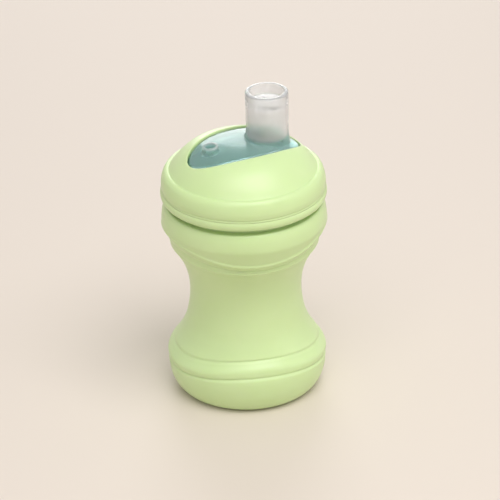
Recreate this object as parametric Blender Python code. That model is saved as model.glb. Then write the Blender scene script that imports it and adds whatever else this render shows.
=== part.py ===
"""Toddler's sippy cup: a waisted cup, a domed screw lid, a seal ring and a one-piece soft spout.

The cup stands on z = 0 with its axis on Z. The spout is towards +X and the air vent towards -X.
Outlines are lists of (radius, height) in millimetres and are turned about Z.
"""
import math

import bmesh
import bpy
from mathutils import Matrix, Vector

MM = 0.001
SEGMENTS = 48

# Cup: the foot's corner, then the smooth skin as (radius, height), then the shoulder of the collar
BASE_RADIUS = 37.5
FOOT_RADIUS = 29.6
FOOT_INNER_RADIUS = 24.0
FOOT_RECESS = 1.0
BASE_CORNER_HEIGHT = 14.0
SKIN = [(37.5, 14.0), (37.3, 17.0), (36.5, 20.0), (35.1, 22.8), (33.5, 25.4), (31.8, 28.0), (30.3, 31.0),
        (28.7, 35.0), (27.6, 39.5), (26.8, 44.5), (26.4, 49.5), (26.6, 54.5), (27.3, 59.5), (28.6, 64.0),
        (30.2, 68.0), (32.4, 72.0), (34.5, 76.0), (36.2, 80.0), (37.6, 84.0), (38.8, 88.0)]
COLLAR_RADIUS = 38.8
COLLAR_HEIGHT = 88.0
COLLAR_TOP = 96.0
SHOULDER_RADIUS = 36.3
WALL = 2.1
FLOOR_HEIGHT = 3.2
BORE_END = 94.5
INNER_SHOULDER = [(33.4, 92.6), (35.6, 88.0)]
INNER_CORNER = [(33.0, 6.2), (31.0, 4.2), (28.0, FLOOR_HEIGHT)]

# Levels of the outer wall's points, close together at the beads and grooves, and of the inner wall's points
OUTER_LEVELS = (14.0, 16.4, 17.4, 18.3, 19.4, 20.9, 22.8, 24.2, 25.0, 26.1, 28.0, 31.0, 35.0, 39.5, 44.5,
                49.5, 54.5, 59.5, 64.0, 68.0, 71.0, 73.2, 75.0, 76.3, 77.3, 78.4, 79.5, 80.6, 82.4, 83.9,
                85.6, 88.0, 91.5, 94.2)
INNER_LEVELS = (83.0, 76.0, 68.0, 59.5, 49.5, 39.5, 31.0, 25.4, 20.0, 14.0, 9.0)

# Beads and grooves on the skin: how far they stand out, their middle, and their reach below and above it
RELIEF = [(-0.7, 17.4, 1.0, 0.9), (0.75, 20.9, 3.0, 3.4), (-0.65, 25.0, 0.8, 1.1),
          (0.55, 75.0, 1.8, 1.2), (-0.75, 78.4, 2.0, 2.0), (0.65, 82.4, 1.9, 1.5)]

# They rise and fall in two waves round the cup: size, middle, and reach below and above it
WAVES = [(-2.5, 20.0, 17.0, 16.0), (3.9, 84.0, 14.0, 11.0)]
WAVE_TURN = -17.0

# Neck and its two-start screw thread
NECK_RADIUS = 33.8
NECK_BORE = 31.6
NECK_TOP = 108.7
THREAD_LEAD = 10.0
THREAD_STARTS = 2
THREAD_WIDTH = 1.6
NECK_THREAD_START = 98.2
NECK_THREAD_TURN = 270
NECK_THREAD_CREST = 35.5
LID_THREAD_TURN = 180
LID_THREAD_CREST = 34.7

# Lid
LID_RADIUS = 39.0
LID_BOTTOM = 98.7
LIP_TOP = 103.9
TIER_RADIUS = 38.5
LID_BORE = 36.3
LID_BORE_TOP = 106.0
CREASE = (34.5, 112.9)
DOME_TOP = 127.0
DOME_POWER = 3.6
LID_WALL = 2.4
SEAT_HEIGHT = 111.2
SEAT_OUTER = 34.4
SEAT_INNER = 30.8
WINDOW_X = 0.8
WINDOW_TOOL_HEIGHTS = (117.0, 130.0)
WINDOW_HALF = (28.4, 16.7)

# Seal ring, between the rim of the neck and the seat in the lid
SEAL_OUTER = 34.0
SEAL_INNER = 31.3

# Soft spout
CLEARANCE = 0.3
FLANGE_HALF = (30.4, 19.0)
PANEL_THICKNESS = 1.6
PANEL_INSET = 0.9
PANEL_STEP = (1.1, 0.35)
SPOUT_X = 13.2
SPOUT_RADIUS = 10.1
SPOUT_FOOT_RADIUS = 11.2
SPOUT_BORE = 8.0
FOOT_BLEND = 8.0
SPOUT_TOP = 149.0
TIP_ROUNDING = 1.5
TIP_RECESS = 4.8
VALVE_THICKNESS = 1.8
SLIT = (7.0, 0.4)
VENT_X = -16.7
VENT_RADIUS = 3.8
VENT_BORE = 2.4
VENT_HEIGHT = 3.0
VENT_SLIT = (3.0, 0.4)


def clear_scene():
    """Remove every object, so that the script can be run again in the same file."""
    for old in list(bpy.data.objects):
        bpy.data.objects.remove(old, do_unlink=True)


def plastic(name, colour, roughness, alpha=1.0):
    """A moulded plastic or silicone finish."""
    finish = bpy.data.materials.new(name)
    finish.use_nodes = True
    shader = finish.node_tree.nodes["Principled BSDF"]
    shader.inputs["Base Color"].default_value = (*colour, 1.0)
    shader.inputs["Roughness"].default_value = roughness
    shader.inputs["Metallic"].default_value = 0.0
    shader.inputs["Alpha"].default_value = alpha
    return finish


def arc(centre, radii, start, end, steps):
    """Points (radius, height) along an elliptical arc; angles in degrees, 0 is outwards, 90 is up."""
    points = []
    for step in range(steps + 1):
        angle = math.radians(start + (end - start) * step / steps)
        points.append((centre[0] + radii[0] * math.cos(angle), centre[1] + radii[1] * math.sin(angle)))
    return points


def smooth_curve(stations, steps):
    """A Catmull-Rom curve through the stations, with a number of steps between each pair."""
    ends = [stations[0]] + list(stations) + [stations[-1]]
    points = []
    for index in range(len(stations) - 1):
        before, first, second, after = [Vector(point) for point in ends[index:index + 4]]
        for step in range(steps):
            t = step / steps
            point = 0.5 * (2 * first + (second - before) * t
                           + (2 * before - 5 * first + 4 * second - after) * t ** 2
                           + (3 * first - before - 3 * second + after) * t ** 3)
            points.append(tuple(point))
    return points + [stations[-1]]


def dome(radius):
    """Height of the lid's outer dome over a radius."""
    return DOME_TOP - (DOME_TOP - CREASE[1]) * (radius / CREASE[0]) ** DOME_POWER


def skin(height):
    """Radius of the cup's smooth outer skin at a height."""
    if height < BASE_CORNER_HEIGHT:
        rise = 1.0 - max(0.0, height) / BASE_CORNER_HEIGHT
        return FOOT_RADIUS + (BASE_RADIUS - FOOT_RADIUS) * math.sqrt(1.0 - rise * rise)
    if height > COLLAR_HEIGHT:
        rise = min(1.0, (height - COLLAR_HEIGHT) / (COLLAR_TOP - COLLAR_HEIGHT))
        return SHOULDER_RADIUS + (COLLAR_RADIUS - SHOULDER_RADIUS) * math.sqrt(1.0 - rise * rise)
    index = max(place for place in range(len(SKIN) - 1) if SKIN[place][1] <= height)
    (r1, h1), (r2, h2) = SKIN[index], SKIN[index + 1]
    return r1 + (r2 - r1) * (height - h1) / (h2 - h1)


def swell(height, middle, below, above):
    """A smooth hump that is 1 at its middle and 0 at its two ends."""
    offset = abs(height - middle) / (below if height < middle else above)
    return math.cos(0.5 * math.pi * offset) ** 2 if offset < 1.0 else 0.0


def relief(height):
    """How far the beads and grooves of a level stand out from the skin."""
    return sum(size * swell(height, *place) for size, *place in RELIEF)


def follow_waves(angle, radius, height):
    """Move a point of the cup's outer wall along the skin, up or down with the waves."""
    if radius < skin(height) - WALL / 2 or height > COLLAR_TOP:
        return radius, height
    turn = math.cos(2 * (angle - math.radians(WAVE_TURN)))
    lift = sum(size * turn * swell(height, *place) for size, *place in WAVES)
    return radius + skin(height + lift) - skin(height), height + lift


def follow_panel(centre_x, foot, reach):
    """Make a move that bends the foot of an upright tube to the curved panel it stands on."""
    def move(angle, radius, height):
        share = min(1.0, max(0.0, 1.0 - (height - foot) / reach))
        away = math.hypot(centre_x + radius * math.cos(angle), radius * math.sin(angle))
        return radius, height + share * (dome(away) - dome(abs(centre_x)))
    return move


def link(name, mesh, finish=None):
    """Make an object of a mesh, with smooth shading and its finish."""
    made = bpy.data.objects.new(name, mesh)
    bpy.context.scene.collection.objects.link(made)
    if finish:
        made.data.materials.append(finish)
    mesh.shade_smooth()
    mesh.set_sharp_from_angle(angle=math.radians(35))
    return made


def turned(name, outline, finish=None, closed=False, centre_x=0.0, move=None, segments=SEGMENTS):
    """Turn an outline about a vertical axis; an open outline starts and ends on the axis."""
    form = bmesh.new()
    rings = []
    for radius, height in outline:
        count = segments if radius > 1e-6 else 1
        ring = []
        for index in range(count):
            angle = 2 * math.pi * index / segments
            out, level = move(angle, radius, height) if move else (radius, height)
            x = centre_x + out * math.cos(angle)
            ring.append(form.verts.new(Vector((x, out * math.sin(angle), level)) * MM))
        rings.append(ring)
    pairs = list(zip(rings, rings[1:]))
    if closed:
        pairs.append((rings[-1], rings[0]))
    for low, high in pairs:
        for index in range(segments):
            after = (index + 1) % segments
            if len(low) == 1:
                form.faces.new((low[0], high[after], high[index]))
            elif len(high) == 1:
                form.faces.new((low[index], low[after], high[0]))
            else:
                form.faces.new((low[index], low[after], high[after], high[index]))
    return finish_mesh(name, form, finish)


def finish_mesh(name, form, finish=None):
    """Turn a bmesh form into an object whose faces all point out."""
    bmesh.ops.recalc_face_normals(form, faces=form.faces)
    mesh = bpy.data.meshes.new(name)
    form.to_mesh(mesh)
    form.free()
    return link(name, mesh, finish)


def box(name, centre, size, turn=0.0):
    """A box, given its centre and size in mm, turned about Z by an angle in degrees."""
    form = bmesh.new()
    bmesh.ops.create_cube(form, size=1.0)
    place = (Matrix.Translation(Vector(centre) * MM) @ Matrix.Rotation(math.radians(turn), 4, "Z")
             @ Matrix.Diagonal((*[side * MM for side in size], 1.0)))
    bmesh.ops.transform(form, matrix=place, verts=form.verts)
    return finish_mesh(name, form)


def oval_prism(name, half, low, high):
    """An upright oval prism on the window's middle."""
    form = bmesh.new()
    levels = []
    for height in (low, high):
        ring = []
        for index in range(SEGMENTS):
            angle = 2 * math.pi * index / SEGMENTS
            x = WINDOW_X + half[0] * math.cos(angle)
            ring.append(form.verts.new(Vector((x, half[1] * math.sin(angle), height)) * MM))
        levels.append(ring)
    form.faces.new(levels[0])
    form.faces.new(levels[1])
    for index in range(SEGMENTS):
        after = (index + 1) % SEGMENTS
        form.faces.new((levels[0][index], levels[0][after], levels[1][after], levels[1][index]))
    return finish_mesh(name, form)


def thread_ridge(name, root, crest, start_height, start_angle, turn):
    """One helical ridge whose height fades in and out at its ends."""
    steps = turn // 10
    form = bmesh.new()
    sections = []
    for step in range(steps + 1):
        angle = math.radians(start_angle + turn * step / steps)
        height = start_height + THREAD_LEAD * turn * step / steps / 360
        fade = min(1.0, 2.0 * step / steps * 3, 2.0 * (steps - step) / steps * 3)
        top = root + (crest - root) * max(0.15, fade)
        half = THREAD_WIDTH / 2
        section = [(root, height - half), (top, height - half * 0.5), (top, height + half * 0.5),
                   (root, height + half)]
        sections.append([form.verts.new(Vector((radius * math.cos(angle), radius * math.sin(angle), level)) * MM)
                         for radius, level in section])
    form.faces.new(sections[0])
    form.faces.new(sections[-1])
    for low, high in zip(sections, sections[1:]):
        for index in range(4):
            after = (index + 1) % 4
            form.faces.new((low[index], low[after], high[after], high[index]))
    return finish_mesh(name, form)


def combine(target, tool, operation):
    """Add a Boolean modifier with a hidden tool object."""
    tool.hide_render = True
    tool.display_type = "WIRE"
    modifier = target.modifiers.new(tool.name, "BOOLEAN")
    modifier.operation = operation
    modifier.solver = "EXACT"
    modifier.object = tool
    tool.parent = target


def make_cup(finish):
    """The cup, from its foot over the outer wall and the neck to the inner wall."""
    outline = [(0.0, FOOT_RECESS), (FOOT_INNER_RADIUS - 1.5, FOOT_RECESS), (FOOT_INNER_RADIUS, 0.0)]
    outline += arc((FOOT_RADIUS, BASE_CORNER_HEIGHT), (BASE_RADIUS - FOOT_RADIUS, BASE_CORNER_HEIGHT), -90, 0, 6)[:-1]
    outline += [(skin(height) + relief(height), height) for height in OUTER_LEVELS]
    outline += [(SHOULDER_RADIUS, COLLAR_TOP), (NECK_RADIUS, COLLAR_TOP)]
    outline += [(NECK_RADIUS, NECK_TOP - 0.5), (NECK_RADIUS - 0.5, NECK_TOP)]
    outline += [(NECK_BORE + 0.5, NECK_TOP), (NECK_BORE, NECK_TOP - 0.5), (NECK_BORE, BORE_END)]
    outline += INNER_SHOULDER
    outline += [(skin(height) - WALL, height) for height in INNER_LEVELS]
    outline += INNER_CORNER + [(0.0, FLOOR_HEIGHT)]
    cup = turned("cup_body", outline, finish, move=follow_waves)
    for start in range(THREAD_STARTS):
        angle = 360 / THREAD_STARTS * start
        ridge = thread_ridge(f"neck_thread_tool_{start + 1}", NECK_RADIUS - 0.5, NECK_THREAD_CREST,
                             NECK_THREAD_START, angle, NECK_THREAD_TURN)
        combine(cup, ridge, "UNION")
    return cup


def make_lid(finish):
    """The domed screw lid with its rolled lip, its tier and the oval window."""
    outline = [(0.0, DOME_TOP)]
    outline += [(CREASE[0] * share, dome(CREASE[0] * share)) for share in (0.3, 0.5, 0.65, 0.76, 0.85, 0.93, 1.0)]
    outline += [(CREASE[0] + 0.9, CREASE[1] + 0.05), (36.4, 112.5), (37.4, 111.2), (38.1, 109.2)]
    outline += [(TIER_RADIUS, 106.8), (TIER_RADIUS - 0.1, LIP_TOP + 0.4), (TIER_RADIUS - 0.4, LIP_TOP)]
    lip_half = (LIP_TOP - LID_BOTTOM) / 2
    outline += arc((LID_RADIUS - 1.5, LID_BOTTOM + lip_half), (1.5, lip_half - 0.2), 52, -80, 6)
    outline += [(LID_RADIUS - 1.8, LID_BOTTOM), (LID_BORE + 0.3, LID_BOTTOM), (LID_BORE, LID_BOTTOM + 0.4)]
    outline += [(LID_BORE, LID_BORE_TOP), (SEAT_OUTER, SEAT_HEIGHT), (SEAT_INNER, SEAT_HEIGHT)]
    inner = [SEAT_INNER, 29.0, 26.5, 23.0, 18.0, 11.0]
    outline += [(radius, dome(radius) - LID_WALL) for radius in inner]
    outline += [(0.0, DOME_TOP - LID_WALL)]
    lid = turned("screw_lid", outline, finish)
    combine(lid, oval_prism("window_tool", WINDOW_HALF, *WINDOW_TOOL_HEIGHTS), "DIFFERENCE")
    for start in range(THREAD_STARTS):
        angle = 360 / THREAD_STARTS * start
        ridge = thread_ridge(f"lid_thread_tool_{start + 1}", LID_BORE + 0.4, LID_THREAD_CREST,
                             NECK_THREAD_START + THREAD_LEAD / THREAD_STARTS / 2, angle, LID_THREAD_TURN)
        combine(lid, ridge, "UNION")
    return lid


def make_seal(finish):
    """The flat seal ring with rounded edges."""
    low = NECK_TOP + CLEARANCE
    high = SEAT_HEIGHT - CLEARANCE
    edge = 0.4
    outline = [(SEAL_OUTER, low + edge), (SEAL_OUTER, high - edge), (SEAL_OUTER - edge, high)]
    outline += [(SEAL_INNER + edge, high), (SEAL_INNER, high - edge), (SEAL_INNER, low + edge)]
    outline += [(SEAL_INNER + edge, low), (SEAL_OUTER - edge, low)]
    return turned("lid_gasket", outline, finish, closed=True)


def panel_height(x):
    """Height of the soft panel's upper face on the spout and vent axis."""
    return dome(abs(x)) - PANEL_INSET


def make_panel(finish):
    """The oval panel: its flange lies under the lid, its thicker middle fills the window."""
    form = bmesh.new()
    under = LID_WALL + CLEARANCE
    middle_half = [half - PANEL_STEP[0] for half in WINDOW_HALF]
    step_half = [half - PANEL_STEP[1] for half in WINDOW_HALF]
    ovals = [(WINDOW_X, middle_half[0] * share, middle_half[1] * share, PANEL_INSET)
             for share in (0.15, 0.3, 0.45, 0.58, 0.7, 0.8, 0.9, 1.0)]
    ovals += [(WINDOW_X, *step_half, under), (0.0, *FLANGE_HALF, under)]
    sides = []
    for lower in (False, True):
        form_rings = []
        for centre_x, half_x, half_y, depth in ovals:
            depth = under + PANEL_THICKNESS if lower else depth
            ring = []
            for index in range(SEGMENTS):
                angle = 2 * math.pi * index / SEGMENTS
                x, y = centre_x + half_x * math.cos(angle), half_y * math.sin(angle)
                ring.append(form.verts.new(Vector((x, y, dome(math.hypot(x, y)) - depth)) * MM))
            form_rings.append(ring)
        centre_depth = under + PANEL_THICKNESS if lower else PANEL_INSET
        middle = form.verts.new(Vector((WINDOW_X, 0.0, dome(WINDOW_X) - centre_depth)) * MM)
        for index in range(SEGMENTS):
            form.faces.new((middle, form_rings[0][index], form_rings[0][(index + 1) % SEGMENTS]))
        for inner, outer in zip(form_rings, form_rings[1:]):
            for index in range(SEGMENTS):
                after = (index + 1) % SEGMENTS
                form.faces.new((inner[index], inner[after], outer[after], outer[index]))
        sides.append(form_rings[-1])
    for index in range(SEGMENTS):
        after = (index + 1) % SEGMENTS
        form.faces.new((sides[0][index], sides[0][after], sides[1][after], sides[1][index]))
    return finish_mesh("soft_spout", form, finish)


def make_spout(finish):
    """The soft panel with its spout, recessed slit valve and vent boss."""
    spout = make_panel(finish)
    foot = panel_height(SPOUT_X)
    boss_foot = panel_height(VENT_X)
    sink = PANEL_THICKNESS - 0.5
    for name, x, wall_middle in (("spout_hole", SPOUT_X, SPOUT_BORE + 1.0), ("vent_hole", VENT_X, VENT_BORE + 0.7)):
        hole = [(0.0, foot - 12.0), (wall_middle, foot - 12.0), (wall_middle, foot + 6.0), (0.0, foot + 6.0)]
        combine(spout, turned(name, hole, centre_x=x, segments=32), "DIFFERENCE")

    valve_top = SPOUT_TOP - TIP_RECESS
    valve_bottom = valve_top - VALVE_THICKNESS
    tube = [(0.0, valve_bottom), (SPOUT_BORE, valve_bottom), (SPOUT_BORE, foot - sink)]
    tube += [(SPOUT_FOOT_RADIUS, foot - sink), (SPOUT_FOOT_RADIUS, foot + 0.3)]
    tube += [(SPOUT_RADIUS + 0.1, foot + 1.6), (SPOUT_RADIUS - 0.3, foot + 3.5), (SPOUT_RADIUS, SPOUT_TOP - 6.0)]
    tube += arc((SPOUT_RADIUS - TIP_ROUNDING, SPOUT_TOP - TIP_ROUNDING), (TIP_ROUNDING, TIP_ROUNDING), 0, 90, 4)
    tube += [(SPOUT_BORE, SPOUT_TOP - 0.3), (SPOUT_BORE - 0.3, valve_top), (0.0, valve_top)]
    tube_move = follow_panel(SPOUT_X, foot, FOOT_BLEND)
    combine(spout, turned("tube_tool", tube, centre_x=SPOUT_X, move=tube_move, segments=32), "UNION")

    boss_top = boss_foot + VENT_HEIGHT
    boss = [(0.0, boss_foot - sink), (VENT_RADIUS + 0.4, boss_foot - sink), (VENT_RADIUS + 0.4, boss_foot + 0.3)]
    boss += [(VENT_RADIUS, boss_foot + 1.2), (VENT_RADIUS, boss_top - 0.6), (VENT_RADIUS - 0.5, boss_top)]
    boss += [(VENT_BORE, boss_top - 0.2), (VENT_BORE, boss_foot + 0.1), (0.0, boss_foot + 0.1)]
    boss_move = follow_panel(VENT_X, boss_foot, FOOT_BLEND)
    combine(spout, turned("boss_tool", boss, centre_x=VENT_X, move=boss_move, segments=32), "UNION")

    for turn in (0.0, 90.0):
        slit = box(f"slit_tool_{int(turn)}", (SPOUT_X, 0.0, valve_bottom), (SLIT[0], SLIT[1], 8.0), turn)
        combine(spout, slit, "DIFFERENCE")
    vent_slit = box("vent_slit_tool", (VENT_X, 0.0, boss_foot), (VENT_SLIT[0], VENT_SLIT[1], 8.0), 90.0)
    combine(spout, vent_slit, "DIFFERENCE")
    return spout


def main():
    """Build the whole cup."""
    clear_scene()
    green = plastic("green_plastic", (0.62, 0.80, 0.36), 0.38)
    silicone = plastic("clear_silicone", (0.86, 0.90, 0.90), 0.25, 0.5)
    seal = plastic("seal_silicone", (0.80, 0.82, 0.80), 0.45, 0.8)
    make_cup(green)
    make_lid(green)
    make_seal(seal)
    make_spout(silicone)


main()
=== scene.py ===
"""The looks of a toddler's sippy cup: a waisted cup, a domed screw lid, a seal ring and a soft spout.

The cup stands on z = 0 with its axis on Z. The spout is towards +X and the air vent towards -X.
Outlines are lists of (radius, height) in millimetres and are turned about Z, as fine as the eye needs.
"""
import math

import bmesh
import bpy
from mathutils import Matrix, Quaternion, Vector, geometry


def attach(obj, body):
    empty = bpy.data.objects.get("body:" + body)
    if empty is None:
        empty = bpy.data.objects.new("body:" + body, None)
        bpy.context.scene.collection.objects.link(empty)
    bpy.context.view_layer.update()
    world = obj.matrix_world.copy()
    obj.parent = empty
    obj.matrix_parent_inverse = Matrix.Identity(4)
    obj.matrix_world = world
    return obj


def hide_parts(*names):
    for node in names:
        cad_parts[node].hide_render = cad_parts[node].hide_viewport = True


MM = 0.001
SEGMENTS = 240

# Camera and staging
CAMERA_AZIMUTH = -27.5
CAMERA_ELEVATION = 28.0
CAMERA_DISTANCE = 1500.0
CAMERA_LENS = 229.0
CAMERA_ROLL = -1.3
AIM_HEIGHT = 70.0
AIM_RIGHT = 2.4
AIM_DOWN = 0.7

# Cup: the foot's corner, then the smooth skin as (radius, height), then the shoulder of the collar
BASE_RADIUS = 37.5
FOOT_RADIUS = 29.6
FOOT_INNER_RADIUS = 24.0
FOOT_RECESS = 1.0
BASE_CORNER_HEIGHT = 14.0
SKIN = [(37.5, 14.0), (37.3, 17.0), (36.5, 20.0), (35.1, 22.8), (33.5, 25.4), (31.8, 28.0), (30.3, 31.0),
        (28.7, 35.0), (27.6, 39.5), (26.8, 44.5), (26.4, 49.5), (26.6, 54.5), (27.3, 59.5), (28.6, 64.0),
        (30.2, 68.0), (32.4, 72.0), (34.5, 76.0), (36.2, 80.0), (37.6, 84.0), (38.8, 88.0)]
COLLAR_RADIUS = 38.8
COLLAR_HEIGHT = 88.0
COLLAR_TOP = 96.0
SHOULDER_RADIUS = 36.3
WALL = 2.1
FLOOR_HEIGHT = 3.2
BORE_END = 94.5
INNER_SHOULDER = [(33.2, 92.6), (35.6, 88.0)]
INNER_TOP = 83.0
INNER_BOTTOM = 9.0
INNER_CORNER = [(33.2, 6.2), (31.0, 4.2), (28.0, FLOOR_HEIGHT)]
SKIN_STEP = 0.45
INNER_STEP = 2.0

# Beads and grooves on the skin: how far they stand out, their middle, and their reach below and above it
RELIEF = [(-0.7, 17.4, 1.0, 0.9), (0.75, 20.9, 3.0, 3.4), (-0.65, 25.0, 0.8, 1.1),
          (0.55, 75.0, 1.8, 1.2), (-0.75, 78.4, 2.0, 2.0), (0.65, 82.4, 1.9, 1.5)]

# They rise and fall in two waves round the cup: size, middle, and reach below and above it
WAVES = [(-2.5, 20.0, 17.0, 16.0), (3.9, 84.0, 14.0, 11.0)]
WAVE_TURN = -17.0

# Neck and its two-start screw thread
NECK_RADIUS = 33.8
NECK_BORE = 31.6
NECK_TOP = 108.7
THREAD_LEAD = 10.0
THREAD_STARTS = 2
THREAD_WIDTH = 1.6
NECK_THREAD_START = 98.2
NECK_THREAD_TURN = 270
NECK_THREAD_CREST = 35.5
LID_THREAD_TURN = 180
LID_THREAD_CREST = 34.7

# Lid
LID_RADIUS = 39.0
LID_BOTTOM = 98.7
LIP_TOP = 103.9
TIER_RADIUS = 38.5
LID_BORE = 36.3
LID_BORE_TOP = 106.0
CREASE = (34.5, 112.9)
DOME_TOP = 127.0
DOME_POWER = 3.6
LID_WALL = 2.4
LID_INNER_EDGE = 29.8
SEAT_HEIGHT = 111.2
SEAT_OUTER = 34.4
SEAT_INNER = 30.8
WINDOW_X = 0.8
WINDOW_HALF = (28.4, 16.7)
WINDOW_ROUNDING = 0.7
DOME_EDGE = 33.3

# Seal ring
SEAL_OUTER = 34.0
SEAL_INNER = 31.3

# Soft spout
CLEARANCE = 0.3
FLANGE_HALF = (30.4, 19.0)
PANEL_THICKNESS = 1.6
PANEL_INSET = 0.9
SPOUT_X = 13.2
SPOUT_RADIUS = 10.1
SPOUT_FOOT_RADIUS = 11.2
SPOUT_BORE = 8.0
FOOT_BLEND = 8.0
SPOUT_TOP = 149.0
TIP_ROUNDING = 1.0
TIP_RECESS = 4.8
VALVE_THICKNESS = 1.8
SLIT = (7.0, 0.3)
VENT_X = -16.7
VENT_RADIUS = 3.8
VENT_BORE = 2.4
VENT_HEIGHT = 3.0


def arc(centre, radii, start, end, steps):
    """Points (radius, height) along an elliptical arc; angles in degrees, 0 is outwards, 90 is up."""
    points = []
    for step in range(steps + 1):
        angle = math.radians(start + (end - start) * step / steps)
        points.append((centre[0] + radii[0] * math.cos(angle), centre[1] + radii[1] * math.sin(angle)))
    return points


def smooth_curve(stations, steps):
    """A Catmull-Rom curve through the stations, with a number of steps between each pair."""
    ends = [stations[0]] + list(stations) + [stations[-1]]
    points = []
    for index in range(len(stations) - 1):
        before, first, second, after = [Vector(point) for point in ends[index:index + 4]]
        for step in range(steps):
            t = step / steps
            point = 0.5 * (2 * first + (second - before) * t
                           + (2 * before - 5 * first + 4 * second - after) * t ** 2
                           + (3 * first - before - 3 * second + after) * t ** 3)
            points.append(tuple(point))
    return points + [stations[-1]]


def line(start, end, steps):
    """Points along a straight line, without its end."""
    return [(start[0] + (end[0] - start[0]) * step / steps, start[1] + (end[1] - start[1]) * step / steps)
            for step in range(steps)]


def fillet(corners, steps=5):
    """Round the corners of a chain of (radius, height, rounding); its first and last points stay."""
    points = [corners[0][:2]]
    for before, corner, after in zip(corners, corners[1:], corners[2:]):
        middle = Vector(corner[:2])
        back = Vector(before[:2]) - middle
        ahead = Vector(after[:2]) - middle
        reach = min(corner[2], 0.49 * back.length, 0.49 * ahead.length)
        if reach < 1e-6:
            points.append(tuple(middle))
            continue
        start = middle + back.normalized() * reach
        end = middle + ahead.normalized() * reach
        for step in range(steps + 1):
            t = step / steps
            points.append(tuple(start * (1 - t) ** 2 + middle * 2 * t * (1 - t) + end * t ** 2))
    points.append(corners[-1][:2])
    return points


def dome(radius):
    """Height of the lid's outer dome over a radius."""
    return DOME_TOP - (DOME_TOP - CREASE[1]) * (radius / CREASE[0]) ** DOME_POWER


def skin(height):
    """Radius of the cup's smooth outer skin at a height."""
    if height < BASE_CORNER_HEIGHT:
        rise = 1.0 - max(0.0, height) / BASE_CORNER_HEIGHT
        return FOOT_RADIUS + (BASE_RADIUS - FOOT_RADIUS) * math.sqrt(1.0 - rise * rise)
    if height > COLLAR_HEIGHT:
        rise = min(1.0, (height - COLLAR_HEIGHT) / (COLLAR_TOP - COLLAR_HEIGHT))
        return SHOULDER_RADIUS + (COLLAR_RADIUS - SHOULDER_RADIUS) * math.sqrt(1.0 - rise * rise)
    index = max(place for place in range(len(SKIN) - 1) if SKIN[place][1] <= height)
    (r1, h1), (r2, h2) = SKIN[index], SKIN[index + 1]
    r0, h0 = SKIN[index - 1] if index else (r1, h1 - 1.0)
    r3, h3 = SKIN[index + 2] if index + 2 < len(SKIN) else (r1, 2 * h2 - h1)
    t = (height - h1) / (h2 - h1)
    slope1 = (r2 - r0) / (h2 - h0) * (h2 - h1)
    slope2 = (r3 - r1) / (h3 - h1) * (h2 - h1)
    return ((2 * t ** 3 - 3 * t ** 2 + 1) * r1 + (t ** 3 - 2 * t ** 2 + t) * slope1
            + (3 * t ** 2 - 2 * t ** 3) * r2 + (t ** 3 - t ** 2) * slope2)


def swell(height, middle, below, above):
    """A smooth hump that is 1 at its middle and 0 at its two ends."""
    offset = abs(height - middle) / (below if height < middle else above)
    return math.cos(0.5 * math.pi * offset) ** 2 if offset < 1.0 else 0.0


def relief(height):
    """How far the beads and grooves of a level stand out from the skin."""
    return sum(size * swell(height, *place) for size, *place in RELIEF)


def wave(angle, height):
    """How far the beads and grooves of a level lie above it at an angle."""
    turn = math.cos(2 * (angle - math.radians(WAVE_TURN)))
    return sum(size * turn * swell(height, *place) for size, *place in WAVES)


def thread(angle, height, first_height, turn):
    """How much of a thread's full height stands at a point, from 0 to 1."""
    share = 0.0
    for start in range(THREAD_STARTS):
        travelled = (math.degrees(angle) - 360 / THREAD_STARTS * start) % 360
        if travelled > turn:
            continue
        offset = abs(height - first_height - THREAD_LEAD * travelled / 360) / (THREAD_WIDTH / 2)
        ridge = max(0.0, min(1.0, (1.15 - offset) / 0.6))
        fade = max(0.0, min(1.0, 6 * travelled / turn, 6 * (turn - travelled) / turn))
        share = max(share, ridge * ridge * (3 - 2 * ridge) * fade)
    return share


def bridge(form, low, high):
    """Faces between two rings of the same number of vertices, or between a ring and a single vertex."""
    count = max(len(low), len(high))
    for index in range(count):
        after = (index + 1) % count
        if len(low) == 1:
            form.faces.new((low[0], high[after], high[index]))
        elif len(high) == 1:
            form.faces.new((low[index], low[after], high[0]))
        else:
            form.faces.new((low[index], low[after], high[after], high[index]))


def ring(form, outline, segments=SEGMENTS):
    """A ring of vertices, given a function of the angle that returns x, y and z in mm."""
    return [form.verts.new(Vector(outline(2 * math.pi * index / segments)) * MM) for index in range(segments)]


def finish_piece(name, form, body, node, material):
    """Turn a bmesh form into a piece of the model that stands for a CAD node."""
    bmesh.ops.recalc_face_normals(form, faces=form.faces)
    mesh = bpy.data.meshes.new(name)
    form.to_mesh(mesh)
    form.free()
    piece = bpy.data.objects.new(name, mesh)
    bpy.context.scene.collection.objects.link(piece)
    mesh.shade_smooth()
    mesh.materials.append(material)
    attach(piece, body)
    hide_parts(node)
    return piece


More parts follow.
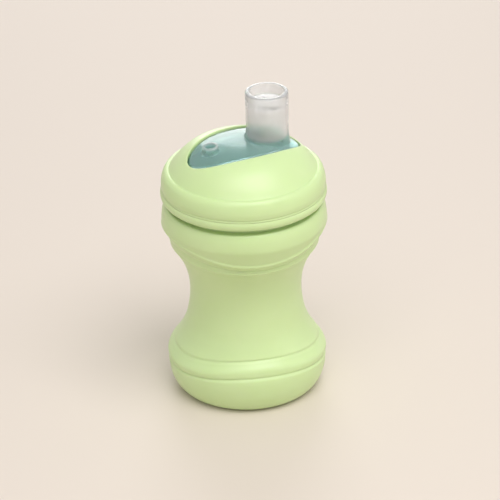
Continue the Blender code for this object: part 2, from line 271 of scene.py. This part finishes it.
def make_cup(material):
    """The cup, from its foot over the outer wall and the neck to the inner wall."""
    form = bmesh.new()
    rings = [[form.verts.new((0.0, 0.0, FOOT_RECESS * MM))]]

    def turned(outline):
        """Rings at the points of an outline."""
        for radius, height in outline:
            rings.append(ring(form, lambda angle: (radius * math.cos(angle), radius * math.sin(angle), height)))

    turned(fillet([(FOOT_INNER_RADIUS - 4.0, FOOT_RECESS, 0), (FOOT_INNER_RADIUS - 1.5, FOOT_RECESS, 1.0),
                   (FOOT_INNER_RADIUS, 0.0, 0.6), (FOOT_RADIUS - 1.0, 0.0, 0)]))
    corner_steps = 16
    turned([(skin(height), height) for height in
            [BASE_CORNER_HEIGHT * 0.25 * (step / corner_steps) ** 2 for step in range(corner_steps)]])
    level = BASE_CORNER_HEIGHT * 0.25
    while level < COLLAR_TOP - 1.0:
        def place(angle, level=level):
            height = level + wave(angle, level)
            radius = skin(height) + relief(level)
            return radius * math.cos(angle), radius * math.sin(angle), height
        rings.append(ring(form, place))
        level += SKIN_STEP
    shoulder = arc((SHOULDER_RADIUS, COLLAR_HEIGHT), (COLLAR_RADIUS - SHOULDER_RADIUS, COLLAR_TOP - COLLAR_HEIGHT),
                   62, 90, 10)
    turned(shoulder)
    neck_steps = 46
    neck_base = COLLAR_TOP + 0.5
    turned(fillet([shoulder[-1] + (0,), (NECK_RADIUS, COLLAR_TOP, 0.4), (NECK_RADIUS, neck_base, 0)]))
    for radius, height in line((NECK_RADIUS, neck_base + 0.1), (NECK_RADIUS, NECK_TOP - 0.8), neck_steps):
        def place(angle, height=height):
            ridge = thread(angle, height, NECK_THREAD_START, NECK_THREAD_TURN)
            radius = NECK_RADIUS + (NECK_THREAD_CREST - NECK_RADIUS) * ridge
            return radius * math.cos(angle), radius * math.sin(angle), height
        rings.append(ring(form, place))
    turned(fillet([(NECK_RADIUS, NECK_TOP - 0.8, 0), (NECK_RADIUS, NECK_TOP, 0.5), (NECK_BORE, NECK_TOP, 0.5),
                   (NECK_BORE, NECK_TOP - 2.0, 0)]))
    inner_start = (skin(INNER_TOP) - WALL, INNER_TOP)
    turned(smooth_curve([(NECK_BORE, BORE_END)] + INNER_SHOULDER + [inner_start], 6)[:-1])
    inner_steps = int((INNER_TOP - INNER_BOTTOM) / INNER_STEP)
    inner_levels = [INNER_TOP - INNER_STEP * step for step in range(inner_steps)]
    turned([(skin(height) - WALL, height) for height in inner_levels])
    turned(smooth_curve([(skin(INNER_BOTTOM) - WALL, INNER_BOTTOM)] + INNER_CORNER, 6))
    rings.append([form.verts.new((0.0, 0.0, FLOOR_HEIGHT * MM))])
    for low, high in zip(rings, rings[1:]):
        bridge(form, low, high)
    return finish_piece("cup_shell", form, "cup", "cup_body", material)


def make_lid(material):
    """The domed screw lid with its rolled lip, its tier and the oval window."""
    form = bmesh.new()
    rings = []

    def oval_ring(grow, share, drop):
        """A ring that goes from the window's edge (share 0) to the dome's circular edge (share 1)."""
        def place(angle):
            half_x = (WINDOW_HALF[0] + grow) * (1 - share) + DOME_EDGE * share
            half_y = (WINDOW_HALF[1] + grow) * (1 - share) + DOME_EDGE * share
            x, y = WINDOW_X * (1 - share) + half_x * math.cos(angle), half_y * math.sin(angle)
            return x, y, dome(math.hypot(x, y)) - drop
        return ring(form, place)

    for step in range(1, 7):
        angle = math.radians(15 * step)
        rings.append(oval_ring(WINDOW_ROUNDING * (1 - math.cos(angle)), 0.0, WINDOW_ROUNDING * (1 - math.sin(angle))))
    dome_steps = 26
    for step in range(1, dome_steps + 1):
        rings.append(oval_ring(WINDOW_ROUNDING, step / dome_steps, 0.0))

    tier = [(CREASE[0] + 0.9, CREASE[1] + 0.05), (36.4, 112.5), (37.4, 111.2), (38.1, 109.2), (TIER_RADIUS, 106.8),
            (TIER_RADIUS - 0.1, LIP_TOP + 0.9)]
    outline = fillet([(CREASE[0] - 1.0, dome(CREASE[0] - 1.0), 0), (CREASE[0] + 0.15, CREASE[1] - 0.1, 1.1),
                      tier[0] + (0,)], steps=5)
    outline += smooth_curve(tier, 7)[1:]
    lip_half = (LIP_TOP - LID_BOTTOM) / 2
    outline += fillet([(TIER_RADIUS - 0.12, LIP_TOP + 0.7, 0), (TIER_RADIUS - 0.5, LIP_TOP, 0.35),
                       (LID_RADIUS - 0.5, LIP_TOP - 0.8, 0)], steps=5)
    outline += arc((LID_RADIUS - 1.5, LID_BOTTOM + lip_half - 0.1), (1.5, lip_half - 0.2), 52, -80, 18)
    outline += fillet([(LID_RADIUS - 1.4, LID_BOTTOM + 0.05, 0), (LID_RADIUS - 1.8, LID_BOTTOM, 0.2),
                       (LID_BORE, LID_BOTTOM, 0.4), (LID_BORE, LID_BOTTOM + 1.0, 0)])
    bore_steps = 34
    outline += line((LID_BORE, LID_BOTTOM + 1.2), (LID_BORE, LID_BORE_TOP + 1.2), bore_steps)
    outline += fillet([(LID_BORE, LID_BORE_TOP + 1.4, 0), (SEAT_OUTER, SEAT_HEIGHT, 0.6), (SEAT_INNER, SEAT_HEIGHT, 0.4),
                       (SEAT_INNER, dome(SEAT_INNER) - LID_WALL, 1.0), (30.0, dome(30.0) - LID_WALL, 0)])
    for radius, height in outline:
        def place(angle, radius=radius, height=height):
            shrunk = radius
            if abs(radius - LID_BORE) < 0.01 and height > LID_BOTTOM + 1.0:
                first = NECK_THREAD_START + THREAD_LEAD / THREAD_STARTS / 2
                shrunk -= (LID_BORE - LID_THREAD_CREST) * thread(angle, height, first, LID_THREAD_TURN)
            return shrunk * math.cos(angle), shrunk * math.sin(angle), height
        rings.append(ring(form, place))

    inner_steps = 8
    for step in range(1, inner_steps + 1):
        share = step / inner_steps

        def place(angle, share=share):
            half_x = LID_INNER_EDGE * (1 - share) + WINDOW_HALF[0] * share
            half_y = LID_INNER_EDGE * (1 - share) + WINDOW_HALF[1] * share
            x, y = WINDOW_X * share + half_x * math.cos(angle), half_y * math.sin(angle)
            return x, y, dome(math.hypot(x, y)) - LID_WALL
        rings.append(ring(form, place))
    rings.append(oval_ring(0.0, 0.0, LID_WALL - 0.3))
    for low, high in zip(rings, rings[1:] + rings[:1]):
        bridge(form, low, high)
    return finish_piece("lid_shell", form, "lid", "screw_lid", material)


def make_seal(material):
    """The flat seal ring with rounded edges."""
    low = NECK_TOP + CLEARANCE
    high = SEAT_HEIGHT - CLEARANCE
    outline = fillet([(SEAL_OUTER - 1.3, low, 0), (SEAL_OUTER, low, 0.5), (SEAL_OUTER, high, 0.5),
                      (SEAL_INNER, high, 0.5), (SEAL_INNER, low, 0.5), (SEAL_OUTER - 1.4, low, 0)])
    form = bmesh.new()
    rings = [ring(form, lambda angle, at=at: (at[0] * math.cos(angle), at[0] * math.sin(angle), at[1]))
             for at in outline]
    for first, second in zip(rings, rings[1:] + rings[:1]):
        bridge(form, first, second)
    return finish_piece("seal_ring", form, "seal", "lid_gasket", material)


def inside(x, y, loop):
    """Whether a point lies inside a closed loop of points."""
    crossed = False
    for (x1, y1), (x2, y2) in zip(loop, loop[1:] + loop[:1]):
        if (y1 > y) != (y2 > y) and x < x1 + (y - y1) / (y2 - y1) * (x2 - x1):
            crossed = not crossed
    return crossed


def fill_sheet(form, outer, holes, height, spacing, seams=()):
    """Triangulate the sheet between an outer loop of vertices and the loops of its holes.

    height(x, y) is the sheet's height; seams are closed loops of points that mesh edges must follow.
    """
    loops = [[(vertex.co.x / MM, vertex.co.y / MM) for vertex in loop] for loop in [outer] + list(holes)]
    vertices = list(outer) + [vertex for hole in holes for vertex in hole]
    points = [point for loop in loops for point in loop]
    edges = []
    first = 0
    for loop in loops + list(seams):
        edges += [(first + index, first + (index + 1) % len(loop)) for index in range(len(loop))]
        first += len(loop)
    for seam in seams:
        points += seam
        vertices += [form.verts.new(Vector((x, y, height(x, y))) * MM) for x, y in seam]
    near = {}
    for x, y in points:
        near.setdefault((round(x / spacing), round(y / spacing)), []).append((x, y))
    reach = max(abs(x) for x, _ in loops[0]) + max(abs(y) for _, y in loops[0])
    middle_x = sum(x for x, _ in loops[0]) / len(loops[0])
    rows = int(reach / spacing) + 1
    for row in range(-rows, rows + 1):
        for column in range(-rows, rows + 1):
            x = middle_x + (column + 0.5 * (row % 2)) * spacing
            y = row * spacing * 0.87
            if not inside(x, y, loops[0]) or any(inside(x, y, hole) for hole in loops[1:]):
                continue
            cell = (round(x / spacing), round(y / spacing))
            close = [other for dx in (-1, 0, 1) for dy in (-1, 0, 1)
                     for other in near.get((cell[0] + dx, cell[1] + dy), [])]
            if any(math.hypot(x - other[0], y - other[1]) < 0.55 * spacing for other in close):
                continue
            points.append((x, y))
            vertices.append(form.verts.new(Vector((x, y, height(x, y))) * MM))
    made = geometry.delaunay_2d_cdt([Vector(point) for point in points], edges, [], 0, 1e-6)
    where = [vertices[origin[0]] for origin in made[3]]
    for corners in made[2]:
        x = sum(made[0][corner].x for corner in corners) / 3
        y = sum(made[0][corner].y for corner in corners) / 3
        if inside(x, y, loops[0]) and not any(inside(x, y, hole) for hole in loops[1:]):
            form.faces.new([where[corner] for corner in corners])


def oval(half, grow, count):
    """Points of an oval about the window's middle."""
    return [(WINDOW_X + (half[0] + grow) * math.cos(2 * math.pi * index / count),
             (half[1] + grow) * math.sin(2 * math.pi * index / count)) for index in range(count)]


def cross(half_length, half_width, centre_x):
    """The outline of a cross-shaped slit."""
    corner = [(half_length, -half_width), (half_length, half_width), (half_width, half_width)]
    points = []
    for turn in range(4):
        angle = turn * math.pi / 2
        points += [(centre_x + x * math.cos(angle) - y * math.sin(angle), x * math.sin(angle) + y * math.cos(angle))
                   for x, y in corner]
    return points


def panel_height(x, y):
    """Height of the soft panel's upper face: its flange is under the lid, its middle fills the window."""
    inner = math.hypot((x - WINDOW_X) / (WINDOW_HALF[0] - 1.1), y / (WINDOW_HALF[1] - 1.1))
    outer = math.hypot((x - WINDOW_X) / (WINDOW_HALF[0] - 0.35), y / (WINDOW_HALF[1] - 0.35))
    share = max(0.0, min(1.0, (1.0 - outer) / max(1e-6, inner - outer)))
    if inner <= 1.0:
        share = 1.0
    return dome(math.hypot(x, y)) - (LID_WALL + CLEARANCE) + (LID_WALL + CLEARANCE - PANEL_INSET) * share


def panel_under(x, y):
    """Height of the soft panel's lower face."""
    return dome(math.hypot(x, y)) - LID_WALL - CLEARANCE - PANEL_THICKNESS


def upright(form, centre_x, outline, base, face, count):
    """Rings about an upright axis whose heights above base blend into the height of the face they stand on."""
    rings = []
    for radius, height in outline:
        share = max(0.0, min(1.0, 1.0 - (height - base) / FOOT_BLEND))

        def place(angle, radius=radius, height=height, share=share):
            x, y = centre_x + radius * math.cos(angle), radius * math.sin(angle)
            return x, y, height + share * (face(x, y) - base)
        rings.append(ring(form, place, count))
    for low, high in zip(rings, rings[1:]):
        bridge(form, low, high)
    return rings


def make_spout(material):
    """The soft insert: flange, panel, spout with its recessed slit valve and the vent boss."""
    form = bmesh.new()
    foot = panel_height(SPOUT_X, 0.0)
    boss_foot = panel_height(VENT_X, 0.0)
    valve_top = SPOUT_TOP - TIP_RECESS
    valve_bottom = valve_top - VALVE_THICKNESS
    around, around_vent = 96, 48

    tube = fillet([(SPOUT_FOOT_RADIUS + 0.2, foot, 0), (SPOUT_FOOT_RADIUS - 0.4, foot + 0.05, 0.4),
                   (SPOUT_RADIUS + 0.2, foot + 1.6, 1.3), (SPOUT_RADIUS - 0.2, foot + 4.0, 1.5),
                   (SPOUT_RADIUS, SPOUT_TOP - 6.0, 2.0), (SPOUT_RADIUS, SPOUT_TOP, TIP_ROUNDING),
                   (SPOUT_BORE, SPOUT_TOP, 0.6), (SPOUT_BORE - 0.3, valve_top, 0.8), (5.5, valve_top, 0)], steps=6)
    tube_rings = upright(form, SPOUT_X, tube, foot, panel_height, around)
    under = panel_under(SPOUT_X, 0.0)
    bore = fillet([(SPOUT_BORE + 1.4, under, 0), (SPOUT_BORE, under, 1.0), (SPOUT_BORE, foot + 6.0, 0.5),
                   (SPOUT_BORE, valve_bottom, 0.8), (5.5, valve_bottom, 0)], steps=6)
    bore_rings = upright(form, SPOUT_X, bore, under, panel_under, around)
    slit_rings = []
    for height, edge in ((valve_top, tube_rings[-1]), (valve_bottom, bore_rings[-1])):
        slit = [form.verts.new(Vector((x, y, height)) * MM) for x, y in cross(SLIT[0] / 2, SLIT[1] / 2, SPOUT_X)]
        fill_sheet(form, edge, [slit], lambda x, y, height=height: height, 1.2)
        slit_rings.append(slit)
    bridge(form, slit_rings[0], slit_rings[1])

    boss_top = boss_foot + VENT_HEIGHT
    boss = fillet([(VENT_RADIUS + 1.0, boss_foot, 0), (VENT_RADIUS + 0.2, boss_foot + 0.05, 0.4),
                   (VENT_RADIUS, boss_foot + 0.8, 0.5), (VENT_RADIUS - 0.1, boss_top, 0.5), (VENT_BORE, boss_top, 0.4),
                   (VENT_BORE - 0.1, boss_foot + 0.4, 0.4), (1.6, boss_foot + 0.4, 0)])
    boss_rings = upright(form, VENT_X, boss, boss_foot, panel_height, around_vent)
    vent_slit = [form.verts.new(Vector((VENT_X + x, y, 0.0)) * MM)
                 for x, y in ((-0.1, -1.1), (0.1, -1.1), (0.1, 1.1), (-0.1, 1.1))]

    def vent_floor(x, y):
        return panel_height(x, y) + 0.4
    vent_under = [form.verts.new(Vector((vertex.co.x, vertex.co.y, 0.0))) for vertex in vent_slit]
    for vertex in vent_slit:
        vertex.co.z = vent_floor(vertex.co.x / MM, vertex.co.y / MM) * MM
    for vertex in vent_under:
        vertex.co.z = panel_under(vertex.co.x / MM, vertex.co.y / MM) * MM
    fill_sheet(form, boss_rings[-1], [vent_slit], vent_floor, 0.7)
    bridge(form, vent_slit, vent_under)

    edge_count = 192
    edge_profile = [(-0.5, 0.0), (-0.15, 0.12), (0.0, 0.5), (0.0, PANEL_THICKNESS - 0.5), (-0.15, PANEL_THICKNESS - 0.12),
                    (-0.5, PANEL_THICKNESS)]
    edges = []
    for grow, drop in edge_profile:
        def place(angle, grow=grow, drop=drop):
            x, y = (FLANGE_HALF[0] + grow) * math.cos(angle), (FLANGE_HALF[1] + grow) * math.sin(angle)
            return x, y, dome(math.hypot(x, y)) - LID_WALL - CLEARANCE - drop
        edges.append(ring(form, place, edge_count))
    for low, high in zip(edges, edges[1:]):
        bridge(form, low, high)
    seams = [oval(WINDOW_HALF, -grow, edge_count) for grow in (0.35, 0.6, 0.85, 1.1)]
    fill_sheet(form, edges[0], [tube_rings[0], boss_rings[0]], panel_height, 1.1, seams)
    fill_sheet(form, edges[-1], [bore_rings[0], vent_under], panel_under, 1.4)
    return finish_piece("spout_insert", form, "spout", "soft_spout", material)


def node(tree, kind, place, **values):
    """Add a shader node and set its inputs by name."""
    made = tree.nodes.new(kind)
    made.location = place
    for name, value in values.items():
        made.inputs[name.replace("_", " ")].default_value = value
    return made


def new_material(name):
    """A node material with its Principled shader."""
    material = bpy.data.materials.new(name)
    material.use_nodes = True
    return material, material.node_tree, material.node_tree.nodes["Principled BSDF"]


def spread(tree, texture, low, high, place):
    """A texture's value mapped from its usual spread to a narrow range."""
    mapped = node(tree, "ShaderNodeMapRange", place)
    mapped.inputs["From Min"].default_value = 0.3
    mapped.inputs["From Max"].default_value = 0.7
    mapped.inputs["To Min"].default_value = low
    mapped.inputs["To Max"].default_value = high
    tree.links.new(texture.outputs["Fac"], mapped.inputs["Value"])
    return mapped.outputs["Result"]


def green_plastic():
    """Satin pastel green moulded plastic, a little translucent, with a fine mould grain."""
    material, tree, shader = new_material("green_plastic")
    where = node(tree, "ShaderNodeTexCoord", (-1200, 0))
    clouds = node(tree, "ShaderNodeTexNoise", (-900, 250), Scale=45.0, Detail=3.0, Roughness=0.55)
    grain = node(tree, "ShaderNodeTexNoise", (-900, -250), Scale=1600.0, Detail=2.0, Roughness=0.6)
    for texture in (clouds, grain):
        tree.links.new(where.outputs["Object"], texture.inputs["Vector"])
    ramp = node(tree, "ShaderNodeValToRGB", (-600, 250))
    ramp.color_ramp.elements[0].position = 0.3
    ramp.color_ramp.elements[0].color = (0.600, 0.760, 0.375, 1.0)
    ramp.color_ramp.elements[1].position = 0.7
    ramp.color_ramp.elements[1].color = (0.625, 0.780, 0.400, 1.0)
    tree.links.new(clouds.outputs["Fac"], ramp.inputs["Fac"])
    tree.links.new(ramp.outputs["Color"], shader.inputs["Base Color"])
    tree.links.new(spread(tree, clouds, 0.30, 0.38, (-600, 0)), shader.inputs["Roughness"])
    bump = node(tree, "ShaderNodeBump", (-300, -250), Strength=0.12, Distance=0.00004)
    tree.links.new(grain.outputs["Fac"], bump.inputs["Height"])
    tree.links.new(bump.outputs["Normal"], shader.inputs["Normal"])
    shader.inputs["IOR"].default_value = 1.49
    shader.inputs["Subsurface Weight"].default_value = 0.25
    shader.inputs["Subsurface Radius"].default_value = (0.8, 1.0, 0.5)
    shader.inputs["Subsurface Scale"].default_value = 0.003
    return material


def clear_silicone():
    """Clear, slightly milky moulded silicone."""
    material, tree, shader = new_material("clear_silicone")
    where = node(tree, "ShaderNodeTexCoord", (-1000, 0))
    clouds = node(tree, "ShaderNodeTexNoise", (-700, 0), Scale=120.0, Detail=2.0, Roughness=0.5)
    tree.links.new(where.outputs["Object"], clouds.inputs["Vector"])
    tree.links.new(spread(tree, clouds, 0.10, 0.16, (-400, 0)), shader.inputs["Roughness"])
    height = node(tree, "ShaderNodeSeparateXYZ", (-700, 300))
    tree.links.new(where.outputs["Object"], height.inputs["Vector"])
    ramp = node(tree, "ShaderNodeValToRGB", (-400, 300))
    rise = node(tree, "ShaderNodeMapRange", (-550, 300), From_Min=0.1262, From_Max=0.1285)
    tree.links.new(height.outputs["Z"], rise.inputs["Value"])
    tree.links.new(rise.outputs["Result"], ramp.inputs["Fac"])
    ramp.color_ramp.elements[0].color = (0.50, 0.79, 0.75, 1.0)
    ramp.color_ramp.elements[1].color = (1.0, 1.0, 1.0, 1.0)
    tree.links.new(ramp.outputs["Color"], shader.inputs["Base Color"])
    shader.inputs["IOR"].default_value = 1.41
    shader.inputs["Transmission Weight"].default_value = 0.72
    return material


def seal_silicone():
    """Pale matt silicone."""
    material, tree, shader = new_material("seal_silicone")
    where = node(tree, "ShaderNodeTexCoord", (-1000, 0))
    clouds = node(tree, "ShaderNodeTexNoise", (-700, 0), Scale=200.0, Detail=2.0)
    tree.links.new(where.outputs["Object"], clouds.inputs["Vector"])
    tree.links.new(spread(tree, clouds, 0.42, 0.55, (-400, 0)), shader.inputs["Roughness"])
    shader.inputs["Base Color"].default_value = (0.78, 0.80, 0.77, 1.0)
    shader.inputs["Subsurface Weight"].default_value = 0.3
    shader.inputs["Subsurface Scale"].default_value = 0.002
    return material


def make_camera():
    """The camera, which looks down on the cup from the vent's side."""
    azimuth, elevation = math.radians(CAMERA_AZIMUTH), math.radians(CAMERA_ELEVATION)
    back = Vector((math.sin(azimuth) * math.cos(elevation), -math.cos(azimuth) * math.cos(elevation),
                   math.sin(elevation)))
    turn = (-back).to_track_quat("-Z", "Y") @ Quaternion((0.0, 0.0, 1.0), math.radians(CAMERA_ROLL))
    aim = Vector((0.0, 0.0, AIM_HEIGHT)) + turn @ Vector((AIM_RIGHT, -AIM_DOWN, 0.0))
    data = bpy.data.cameras.new("camera")
    data.lens = CAMERA_LENS
    data.sensor_width = 36.0
    data.clip_start = 0.05
    data.clip_end = 30.0
    camera = bpy.data.objects.new("camera", data)
    camera.rotation_mode = "QUATERNION"
    camera.rotation_quaternion = turn
    camera.location = (aim + back * CAMERA_DISTANCE) * MM
    bpy.context.scene.collection.objects.link(camera)
    bpy.context.scene.camera = camera


def make_floor():
    """A plain pale floor."""
    form = bmesh.new()
    bmesh.ops.create_circle(form, cap_ends=True, segments=64, radius=6.0)
    mesh = bpy.data.meshes.new("floor")
    form.to_mesh(mesh)
    form.free()
    floor = bpy.data.objects.new("floor", mesh)
    bpy.context.scene.collection.objects.link(floor)
    material, _, shader = new_material("pale_floor")
    shader.inputs["Base Color"].default_value = (0.72, 0.635, 0.56, 1.0)
    shader.inputs["Roughness"].default_value = 0.6
    mesh.materials.append(material)


def area_light(name, place, aim, size, power, colour=(1.0, 1.0, 1.0)):
    """A square softbox that faces a point."""
    data = bpy.data.lights.new(name, "AREA")
    data.shape = "SQUARE"
    data.size = size
    data.energy = power
    data.color = colour
    light = bpy.data.objects.new(name, data)
    light.location = place
    light.rotation_mode = "QUATERNION"
    light.rotation_quaternion = (Vector(aim) - Vector(place)).to_track_quat("-Z", "Y")
    bpy.context.scene.collection.objects.link(light)


def make_studio():
    """Soft light from all round, two softboxes above the camera's side, one behind and a weak one at the right."""
    world = bpy.data.worlds.new("studio")
    world.use_nodes = True
    tree = world.node_tree
    background = tree.nodes["Background"]
    background.inputs["Color"].default_value = (1.0, 0.985, 0.96, 1.0)
    where = node(tree, "ShaderNodeTexCoord", (-900, 0))
    split = node(tree, "ShaderNodeSeparateXYZ", (-700, 0))
    fade = node(tree, "ShaderNodeMapRange", (-500, 0), From_Min=0.1, From_Max=0.6, To_Min=0.85, To_Max=0.42)
    tree.links.new(where.outputs["Generated"], split.inputs["Vector"])
    tree.links.new(split.outputs["Z"], fade.inputs["Value"])
    tree.links.new(fade.outputs["Result"], background.inputs["Strength"])
    bpy.context.scene.world = world
    area_light("key_softbox", (0.12, -0.62, 1.3), (0.0, 0.0, 0.08), 0.9, 11.5)
    area_light("high_softbox", (-0.6, -0.55, 1.4), (0.0, 0.0, 0.08), 0.8, 4.0)
    area_light("back_softbox", (0.75, 1.5, 0.5), (0.0, 0.0, 0.08), 0.9, 9.0)
    area_light("side_softbox", (1.25, -1.0, 0.7), (0.0, 0.0, 0.08), 0.7, 1.5)


scene = bpy.context.scene
scene.view_settings.view_transform = "Standard"
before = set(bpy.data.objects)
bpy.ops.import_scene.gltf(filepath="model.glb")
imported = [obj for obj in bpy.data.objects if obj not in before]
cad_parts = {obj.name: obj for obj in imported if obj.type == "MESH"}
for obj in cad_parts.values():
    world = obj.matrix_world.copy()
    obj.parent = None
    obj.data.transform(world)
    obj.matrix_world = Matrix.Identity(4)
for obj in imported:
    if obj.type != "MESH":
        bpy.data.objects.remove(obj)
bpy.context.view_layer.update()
make_camera()
green = green_plastic()
make_cup(green)
make_lid(green)
make_seal(seal_silicone())
make_spout(clear_silicone())
make_floor()
make_studio()
